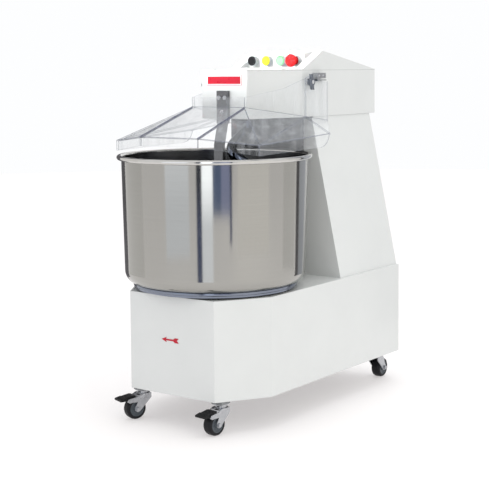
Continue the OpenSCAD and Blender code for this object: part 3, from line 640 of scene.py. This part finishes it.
def dough_tools():
    """Fixed breaker bar with its bolts, and the splash shield behind the hook."""
    rounded_copy("breaker_bar", "breaker_blade", "frame", BLADE, 1.2 * MM)
    # the shield takes the painted reflection steel
    rounded_copy("splash_shield", "shield_sheet", "frame", SHIELD_PAINTED_REFLECTION, 0.4 * MM, 2)
    head, height, crown = 7 * MM, 2.4 * MM, 2.9 * MM
    bm = bmesh.new()
    for lo, hi in islands("breaker_bar_bolts"):
        middle = (lo + hi) / 2
        place = Vector((middle.x, lo.y + 3 * MM, middle.z))
        prism_into(bm, regular(6, head), place, TO_FRONT, 0, height)
        lathe_into(bm, [(5.4 * MM, height), (4.9 * MM, crown), (0, crown)], place, TO_FRONT, 32)
    bolts = finish_piece("breaker_bolts", mesh_from("breaker_bolts", bm), "frame", ZINC,
                         ("breaker_bar_bolts",))
    bevel(bolts, 0.4 * MM, 2)


# ---- Guard ----

def tube_into(bm, start, end, radius, sides=8):
    """Thin bar between two points, with domed ends."""
    u, v, w = basis(end - start)
    past, narrow = 0.7 * radius, 0.6 * radius
    rings = []
    for place, along, r in ((start, -past, narrow), (start, 0.0, radius), (end, 0.0, radius),
                            (end, past, narrow)):
        rings.append([bm.verts.new(place + w * along + (u * math.cos(a) + v * math.sin(a)) * r)
                      for a in (2 * math.pi * i / sides for i in range(sides))])
    skin(bm, rings)
    bm.faces.new(rings[0][::-1])
    bm.faces.new(rings[-1])


def guard():
    """Clear formed sheet: faces nearly invisible; cut edges and folds drawn as dark lines, the edges with
    the sheet's own tint and painted reflection, the folds with painted reflection.
    """
    sheet = rounded_copy("guard_shell", "guard_sheet", "guard", CLEAR, 0.8 * MM, 3).data
    sheet.materials.append(CLEAR_EDGE_TINT_AND_REFLECTION)
    widest_edge = 4.6 * MM
    for polygon in sheet.polygons:
        corners = [sheet.vertices[i].co for i in polygon.vertices]
        around = sum((a - b).length for a, b in zip(corners, corners[1:] + corners[:1]))
        # thin faces are the cut edges; they take the tinted edge material with painted reflection
        if polygon.area / around * 2 < widest_edge:
            polygon.material_index = 1
    guard_crease_reflections(sheet)
    rounded_copy("guard_knobs", "hinge_knobs", "guard", KNOB_STEEL, 1.2 * MM)
    rounded_copy("guard_pivots", "hinge_studs", "frame", CHROME, 0.6 * MM)
    rounded_copy("guard_buffer", "stop_buffer", "frame", RUBBER, 1.5 * MM)


def guard_crease_reflections(sheet):
    """Painted reflection along the sheet's folds: darker lines where the sheet is folded, standing in for
    light bending at each fold; the window's two side folds are the strongest.
    """
    shortest, flattest = 12 * MM, math.radians(6)
    window_run, window_lean, window_half = 200 * MM, 20 * MM, 110 * MM
    thick, thin = 1.9 * MM, 0.9 * MM
    bm = bmesh.new()
    bm.from_mesh(sheet)
    strong, soft = bmesh.new(), bmesh.new()
    for edge in bm.edges:
        if len(edge.link_faces) != 2 or edge.calc_length() < shortest:
            continue
        if any(face.material_index == 1 for face in edge.link_faces):
            continue
        if edge.calc_face_angle() < flattest:
            continue
        a, b = (vert.co.copy() for vert in edge.verts)
        if abs(a.y - b.y) > window_run and abs(a.x - b.x) < window_lean and abs(a.x) < window_half:
            tube_into(strong, a, b, thick)
        else:
            tube_into(soft, a, b, thin)
    bm.free()
    finish_piece("guard_window_crease_reflections", mesh_from("guard_window_crease_reflections", strong), "guard", DARK_CREASE_REFLECTION)
    finish_piece("guard_pale_crease_reflections", mesh_from("guard_pale_crease_reflections", soft), "guard", PALE_CREASE_REFLECTION)


def limit_switch():
    """Guard's limit switch, its roller lever and its two screws."""
    rounded_copy("limit_switch", "switch_case", "frame", ZINC, 0.8 * MM)
    rounded_copy("switch_lever", "switch_arm", "lever", DARK_STEEL, 0.3 * MM, 2)
    lo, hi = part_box("limit_switch")
    down, radius, height = 8 * MM, 3.2 * MM, 1.2 * MM
    bm = bmesh.new()
    for y in (lo.y + 9 * MM, hi.y - 14 * MM):
        screw_head(bm, Vector((hi.x, y, hi.z - down)), (1, 0, 0), radius, height)
    finish_piece("switch_screws", mesh_from("switch_screws", bm), "frame", CHROME)


# ---- Controls ----

def button_place(lo, hi):
    """Centre of a button's rear face, its radius and its depth."""
    middle = (lo + hi) / 2
    return Vector((middle.x, hi.y, middle.z)), (hi.x - lo.x) / 2, hi.y - lo.y


def buttons():
    """Three flush caps and a mushroom stop button, each on its own body."""
    collars()
    stem = 7 * MM
    for colour, material in (("black", BLACK), ("yellow", YELLOW), ("green", GREEN)):
        place, r, depth = button_place(*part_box("button_" + colour))
        back = depth - 15 * MM
        profile = [(stem, 0), (stem, back), (r, back), (r, depth), (r * 0.86, depth),
                   (r * 0.8, depth - 1.1 * MM), (0, depth - 1.3 * MM)]
        lathe("cap_" + colour, fillet(profile, 1.2 * MM), place, "button_" + colour + "_body", material,
              TO_FRONT, 72, replaced=("button_" + colour,))
    place, r, depth = button_place(*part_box("button_stop"))
    neck = 12 * MM
    under = depth - neck
    profile = [(stem, 0), (stem, neck), (neck, neck), (neck, under), (r - 2 * MM, under),
               (r, depth - 10 * MM), (r, depth - 7 * MM), (r - 4 * MM, depth - 1.5 * MM),
               (r * 0.45, depth), (0, depth)]
    lathe("cap_stop", fillet(profile, 2.5 * MM, 6), place, "button_stop_body", RED,
          TO_FRONT, 80, replaced=("button_stop",))


def collars():
    """Metal collars round the buttons, with a groove round each."""
    bm = bmesh.new()
    hole, groove = 14.4 * MM, 0.8 * MM
    for lo, hi in islands("button_bezels"):
        place, r, depth = button_place(lo, hi)
        profile = [(hole, 0), (r, 0), (r, depth * 0.45), (r - groove, depth * 0.5),
                   (r - groove, depth * 0.62), (r, depth * 0.67), (r, depth), (hole, depth),
                   (hole, 0.1 * MM)]
        lathe_into(bm, fillet(profile, 1.0 * MM), place, TO_FRONT, 72)
    finish_piece("button_collars", mesh_from("button_collars", bm), "frame", CHROME,
                 ("button_bezels",))


# ---- Drive, seen from below and behind ----

def drive():
    repaint(MOTOR_PAINT, "motor_body")
    repaint(BRUSHED, "motor_shaft", "jackshaft")
    repaint(CAST, "motor_pulleys", "spiral_pulley", "spiral_housing", "jackshaft_housing", "bowl_housing")
    repaint(RUBBER, "spiral_belt", "motor_belt")
    repaint(DARK_STEEL, "bowl_chain")
    repaint(GREY, "electrical_box")
    rounded_copy("cable_gland", "cord_gland", "frame", BLACK, 0.8 * MM)


# ---- Castors ----

def joint(name):
    return next(j for j in frame["joints"] if j["name"] == name)


def wheel(corner):
    """Hard tread with rounded shoulders and a side groove on a moulded core with a hub."""
    hinge = joint("roll_" + corner)
    centre, axis = Vector(hinge["pos_m"]), Vector(hinge["axis"])
    r, w = centre.z, 15 * MM
    shoulder = 6 * MM
    tread = [(r * 0.70, -w + 0.8 * MM), (r * 0.76, -w), (r * 0.90, -w), (r, -w + shoulder),
             (r, w - shoulder), (r * 0.90, w), (r * 0.76, w), (r * 0.70, w - 0.8 * MM),
             (r * 0.70, -w + 1 * MM)]
    body = "wheel_" + corner
    lathe("tread_" + corner, fillet(tread, 3.2 * MM, 6), centre, body, TREAD, axis, 96,
          replaced=("castor_wheel_" + corner,))
    bore = 4.05 * MM
    half = [(bore, 0), (9.5 * MM, 0), (10.5 * MM, 1 * MM), (11 * MM, 4 * MM), (17.5 * MM, 3.4 * MM),
            (19.5 * MM, 1 * MM), (r * 0.715, 0.8 * MM)]
    core = [(radius, -w + sunk) for radius, sunk in half]
    core += [(radius, w - sunk) for radius, sunk in reversed(half)] + [(bore, -w + 0.1 * MM)]
    lathe("core_" + corner, fillet(core, 0.8 * MM), centre, body, CORE_GREY, axis, 72)


def fork(corner):
    """Pressed fork with the hexagon ends of its axle bolt."""
    body = "fork_" + corner
    rounded_copy("castor_fork_" + corner, "fork_plate_" + corner, body, ZINC, 0.7 * MM, 2)
    hinge = joint("roll_" + corner)
    centre, axis = Vector(hinge["pos_m"]), Vector(hinge["axis"])
    radius, near, far = 6.4 * MM, 21.9 * MM, 24.5 * MM
    bm = bmesh.new()
    for side in (-1, 1):
        prism_into(bm, regular(6, radius), centre, axis * side, near, far)
    bolt = finish_piece("axle_bolt_" + corner, mesh_from("axle_bolt_" + corner, bm), body, ZINC)
    bevel(bolt, 0.5 * MM, 2)


def pedal(corner):
    """Moulded brake pedal with grip ribs, laid out from its joint."""
    body = "pedal_" + corner
    rounded_copy("brake_pedal_" + corner, "pedal_tread_" + corner, body, BLACK, 1.0 * MM)
    hinge = joint("brake_" + corner)
    pin, side = Vector(hinge["pos_m"]), Vector(hinge["axis"])
    back = Vector((-side.y, side.x, 0))
    half_w, rib, pitch, tip, slope = 17 * MM, 1.8 * MM, 4.4 * MM, 30 * MM, 0.21
    bm = bmesh.new()
    for i in range(4):
        reach = pitch * i - 28 * MM
        top = pin.z + 6.5 * MM + (reach + tip) * slope
        rings = []
        for z in (top - 1.6 * MM, top + 0.9 * MM):
            corners = ((-half_w, reach), (half_w, reach), (half_w, reach + rib), (-half_w, reach + rib))
            places = [pin + side * x + back * y for x, y in corners]
            rings.append([bm.verts.new((place.x, place.y, z)) for place in places])
        bm.faces.new(rings[0][::-1])
        bm.faces.new(rings[1])
        skin(bm, rings)
    ribs = finish_piece("pedal_ribs_" + corner, mesh_from("pedal_ribs_" + corner, bm), body, BLACK)
    bevel(ribs, 0.5 * MM, 2)


def castors():
    for corner in CORNERS:
        wheel(corner)
        fork(corner)
    for corner in CORNERS[:2]:
        pedal(corner)
    rounded_copy("castor_plates", "castor_tops", "frame", ZINC, 0.6 * MM, 2)


# ---- Stage ----

def studio():
    """Pale floor that glows a little, so shadows stay light, and soft white surroundings."""
    bm = bmesh.new()
    reach, color = 9, (0.56, 0.555, 0.555)
    bm.faces.new([bm.verts.new((x, y, 0)) for x, y in regular(48, reach)])
    mesh = mesh_from("floor", bm)
    pale = Surface("pale_floor", color, 0.7, Emission_Color=(1.0, 0.96, 0.955, 1), Emission_Strength=0.43)
    pale.tint(pale.spread(pale.noise(2.0), 0, 1), color, (0.55, 0.545, 0.545))
    mesh.materials.append(pale.material)
    add_object("floor", mesh)

    world = bpy.data.worlds.new("studio")
    world.use_nodes = True
    background = world.node_tree.nodes["Background"]
    background.inputs["Color"].default_value = (0.985, 0.992, 1.0, 1)
    background.inputs["Strength"].default_value = 1.0
    bpy.context.scene.world = world


def panel_material(name, color, low_glow, high_glow):
    """Glowing card whose brightness runs from one value near the floor to another at bowl height."""
    s = Surface(name, (0.01, 0.01, 0.01), 1.0, Emission_Color=(*color, 1))
    split = s.nodes.new("ShaderNodeSeparateXYZ")
    s.links.new(s.place, split.inputs["Vector"])
    glow = s.spread(split.outputs["Z"], low_glow, high_glow, 0.28, 0.5)
    s.links.new(glow, s.bsdf.inputs["Emission Strength"])
    return s.material


def mirror_panels():
    """Upright cards round the set that show only as streaks in polished steel.

    They stand still round the bowl. Their angles count from the photographer's side, positive to the
    right of it, and each row gives first angle, last angle, distance, foot, top and glow."""
    middle = node_centre("bowl")
    toward = bpy.context.scene.camera.location - middle
    heading = math.atan2(toward.y, toward.x)
    dark = panel_material("card_dark", (0.9, 0.88, 0.95), 0.17, 0.13)
    edge = panel_material("card_edge", (0.88, 0.92, 1.0), 0.55, 0.6)
    blue = panel_material("card_blue", (0.14, 0.20, 0.36), 1.1, 1.0)
    haze = panel_material("card_haze", (0.36, 0.40, 0.62), 1.1, 1.15)
    line = panel_material("card_line", (0.10, 0.13, 0.26), 0.9, 0.2)
    white = panel_material("card_white", (0.90, 0.94, 1.0), 1.5, 2.8)
    soft = panel_material("card_soft", (0.90, 0.94, 1.0), 1.22, 1.42)
    warm = panel_material("card_warm", (1.0, 0.98, 0.95), 1.16, 1.13)
    grey = panel_material("card_grey", (0.98, 0.97, 0.96), 0.93, 0.88)
    cards = ((-20.8, -15.2, 1.9, -0.2, 2.6, line), (-14.9, -2.6, 1.95, -0.2, 2.6, white),
             (-2.5, 7.0, 3.0, 0.15, 2.2, blue), (7.0, 17.0, 3.0, 0.15, 2.2, haze),
             (17.0, 19.5, 2.9, -0.1, 2.2, line), (-60.0, -30.0, 2.6, -0.2, 2.4, soft),
             (-134.0, -95.0, 2.2, -0.2, 2.4, grey), (26.0, 66.0, 2.7, -0.2, 2.4, warm),
             (88.0, 110.5, 2.4, -0.2, 2.4, grey), (111.0, 118.5, 1.6, -0.3, 2.4, dark),
             (118.5, 146.0, 1.7, -0.3, 2.2, edge), (-168.0, -134.0, 1.5, -0.2, 2.2, dark))
    steps = 6
    for number, (start, end, reach, low, high, material) in enumerate(cards):
        bm = bmesh.new()
        columns = []
        for i in range(steps + 1):
            a = heading + math.radians(start + (end - start) * i / steps)
            x, y = middle.x + reach * math.cos(a), middle.y + reach * math.sin(a)
            columns.append((bm.verts.new((x, y, low)), bm.verts.new((x, y, high))))
        for left, right in zip(columns, columns[1:]):
            bm.faces.new((left[0], right[0], right[1], left[1]))
        mesh = mesh_from(f"mirror_card_{number}", bm)
        mesh.materials.append(material)
        card = add_object(f"mirror_card_{number}", mesh)
        card.visible_camera = False
        card.visible_diffuse = False
        card.visible_shadow = False
        card.visible_transmission = False


def area_light(name, place, aim, size, power, color=(1, 1, 1), spread=180.0):
    data = bpy.data.lights.new(name, "AREA")
    data.shape = "RECTANGLE"
    data.size, data.size_y = size
    data.energy = power
    data.color = color
    data.spread = math.radians(spread)
    lamp = add_object(name, data)
    lamp.location = place
    lamp.visible_glossy = False
    lamp.rotation_mode = "QUATERNION"
    lamp.rotation_quaternion = (Vector(aim) - Vector(place)).to_track_quat("-Z", "Y")


def lights():
    """Large soft light above, a warmer one from the right and a narrow one on the head's front."""
    area_light("top", (0.3, 0.2, 4.2), (0, 0, 0.4), (3.4, 3.4), 45)
    area_light("right", (3.6, -1.2, 2.2), (0, 0, 0.5), (1.8, 2.6), 22, (1.0, 0.98, 0.84))
    area_light("head", (-0.9, -3.2, 2.4), (0, 0.05, 1.14), (0.35, 0.25), 1.6, (0.98, 0.99, 1.0), 8.0)


def camera():
    """The photographer's place: front right, level with the lid, long lens."""
    azimuth, pitch, roll = math.radians(36.41), math.radians(-4.64), math.radians(0.47)
    data = bpy.data.cameras.new("camera")
    data.sensor_width = 36.0
    data.lens = 92.2
    data.shift_y = -0.15
    data.clip_end = 60
    cam = add_object("camera", data)
    level = math.cos(pitch)
    forward = Vector((-math.sin(azimuth) * level, math.cos(azimuth) * level, math.sin(pitch)))
    turn = forward.to_track_quat("-Z", "Y").to_matrix() @ Matrix.Rotation(-roll, 3, "Z")
    cam.location = (2.2601, -3.1183, 1.0223)
    cam.rotation_mode = "QUATERNION"
    cam.rotation_quaternion = turn.to_quaternion()
    bpy.context.scene.camera = cam


camera()
casings()
badge()
arrow()
cover_screws()
bowl()
spiral_hook()
dough_tools()
guard()
limit_switch()
buttons()
drive()
castors()
studio()
mirror_panels()
lights()
bpy.context.scene.view_settings.view_transform = "Standard"
